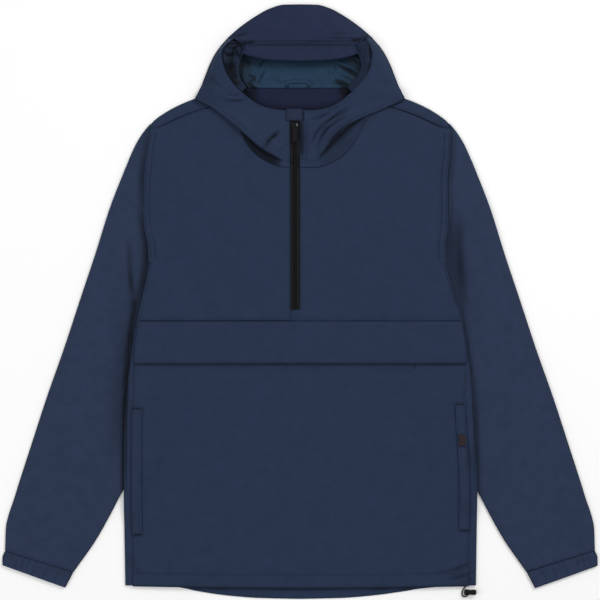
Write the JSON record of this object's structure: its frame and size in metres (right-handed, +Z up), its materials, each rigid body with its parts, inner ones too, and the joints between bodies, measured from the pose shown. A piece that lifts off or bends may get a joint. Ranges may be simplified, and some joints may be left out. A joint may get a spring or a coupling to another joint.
{
  "type": "anorak pullover",
  "caption": "Hooded half-zip anorak pullover laid flat, with a front pouch flap, welt pockets, gathered cuffs and a drawcord hem.",
  "frame": {"origin": "middle of the outline, on the surface the garment lies on", "axes": "+X to the viewer's right as it lies front up, +Y towards the hood, +Z up from the surface"},
  "size_m": [0.894, 0.8927, 0.0176],
  "materials": {
    "shell_navy": "plain-woven nylon, matt with a faint sheen",
    "sleeve_navy": "plain-woven nylon, matt with a faint sheen",
    "lining_teal": "smooth lining",
    "facing_plum": "smooth facing cloth",
    "tape_black": "woven tape and cord",
    "tab_dark": "woven tape",
    "zip_black": "moulded plastic",
    "slider_black": "black enamel"
  },
  "bodies": {
    "garment": {"back": "shell_navy", "chest_left": "shell_navy", "chest_right": "shell_navy", "front_lower": "shell_navy", "pocket_flap": "shell_navy", "welt_left": "shell_navy", "welt_right": "shell_navy", "side_tab": "tab_dark", "sleeve_left": "sleeve_navy", "sleeve_right": "sleeve_navy", "cuff_left": "sleeve_navy", "cuff_right": "sleeve_navy", "hood_side_left": "shell_navy", "hood_side_right": "shell_navy", "opening_facing_left": "shell_navy", "opening_facing_right": "shell_navy", "hood_centre": "shell_navy", "hood_brim": "shell_navy", "hood_lining": "lining_teal", "neck_facing": "facing_plum", "hanger_loop": "lining_teal", "zip_tape": "tape_black", "zip_coil": "zip_black", "zip_slider": "slider_black", "zip_garage": "facing_plum", "zip_placket": "facing_plum", "cord_lock": "zip_black", "hem_cord": "tape_black"},
    "pull": {"zip_pull": "zip_black"}
  },
  "joints": [
    {"name": "pull_hinge", "type": "hinge", "parent": "garment", "child": "pull", "pos_m": [-0.0075, 0.262, 0.01249], "axis": [-1, 0, 0], "range_deg": [0, 165]}
  ]
}
